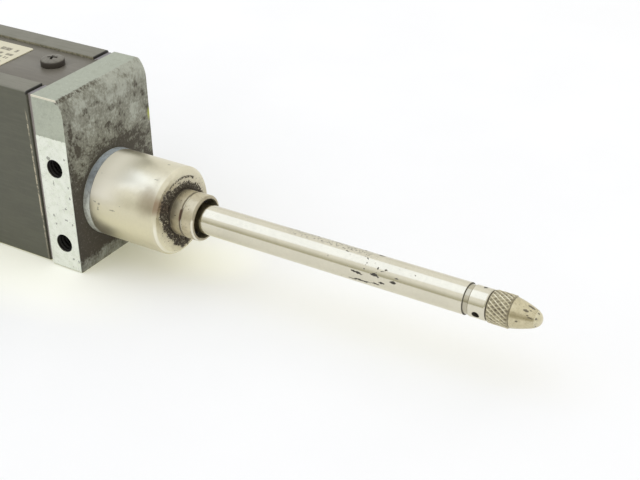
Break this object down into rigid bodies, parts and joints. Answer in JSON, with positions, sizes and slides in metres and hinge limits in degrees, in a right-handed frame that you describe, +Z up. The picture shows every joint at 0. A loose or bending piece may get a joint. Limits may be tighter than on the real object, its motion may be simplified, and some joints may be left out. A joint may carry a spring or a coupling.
{
  "type": "linear gauge sensor",
  "caption": "Linear gauge sensor: sprung measuring spindle with a ball contact, clamping stem and slim case holding an optical glass scale.",
  "frame": {"origin": "on the spindle's axis, where the clamping stem leaves the boss of the front plate", "axes": "+X along the spindle towards the contact point, +Z up through the top cover, +Y to the far side from the tapped side holes"},
  "size_m": [0.2186, 0.0211, 0.0324],
  "materials": {
    "plate_cast": "satin",
    "stem_steel": "satin",
    "nose_steel": "satin",
    "spindle_steel": "polished",
    "contact_steel": "satin",
    "tip_ball": "polished",
    "case_paint": "satin",
    "cover_paint": "satin",
    "black_screw": "satin",
    "label_foil": "satin",
    "gasket_rubber": "matte",
    "black_rubber": "matte",
    "inlet_nickel": "satin",
    "bearing_steel": "polished",
    "dark_steel": "satin",
    "bronze": "satin",
    "brass": "satin",
    "chassis_aluminium": "satin",
    "carriage_aluminium": "satin",
    "white_plastic": "matte",
    "scale_glass": "gloss",
    "lens_glass": "gloss",
    "reader_black": "matte",
    "lamp_plastic": "gloss",
    "board_green": "satin",
    "chip_black": "matte",
    "cream_plastic": "matte",
    "spring_steel": "satin"
  },
  "bodies": {
    "housing": {"front_end_plate": "plate_cast", "stem_sleeve": "stem_steel", "nose_bush": "nose_steel", "spindle_wiper": "black_rubber", "bearing_shell": "bearing_steel", "ball_cage": "bronze", "bearing_balls": "bearing_steel", "bearing_clip": "dark_steel", "case_shell": "case_paint", "top_cover": "cover_paint", "cover_screws": "black_screw", "rating_label": "label_foil", "front_gasket": "gasket_rubber", "rear_gasket": "gasket_rubber", "rear_end_plate": "plate_cast", "rear_plate_screws": "black_screw", "cable_inlet": "inlet_nickel", "inlet_grommet": "black_rubber", "chassis": "chassis_aluminium", "chassis_screws": "dark_steel", "rear_guide_bush": "bronze", "front_bumper": "black_rubber", "rear_bumper": "black_rubber", "guide_rod": "bearing_steel", "reader_block": "reader_black", "reader_screws": "dark_steel", "led_lamp": "lamp_plastic", "condenser_lens": "lens_glass", "index_grating": "scale_glass", "detector_board": "board_green", "photo_detector": "chip_black", "amplifier_board": "board_green", "board_spacers": "brass", "board_screws": "bearing_steel", "signal_chips": "chip_black", "lead_terminal": "cream_plastic", "front_spring_pin": "bearing_steel", "return_spring": "spring_steel"},
    "spindle_group": {"spindle": "spindle_steel", "contact_point": "contact_steel", "contact_tip": "tip_ball", "carriage": "carriage_aluminium", "carriage_grub_screw": "dark_steel", "rod_bush": "white_plastic", "scale_holder": "carriage_aluminium", "holder_screws": "dark_steel", "glass_scale": "scale_glass", "carriage_spring_pin": "bearing_steel"}
  },
  "joints": [
    {"name": "spindle_slide", "type": "slide", "parent": "housing", "child": "spindle_group", "axis": [-1, 0, 0], "range_m": [0, 0.05], "stiffness_N_per_m": 14, "springref_m": -0.064, "deforming": ["return_spring"]}
  ]
}
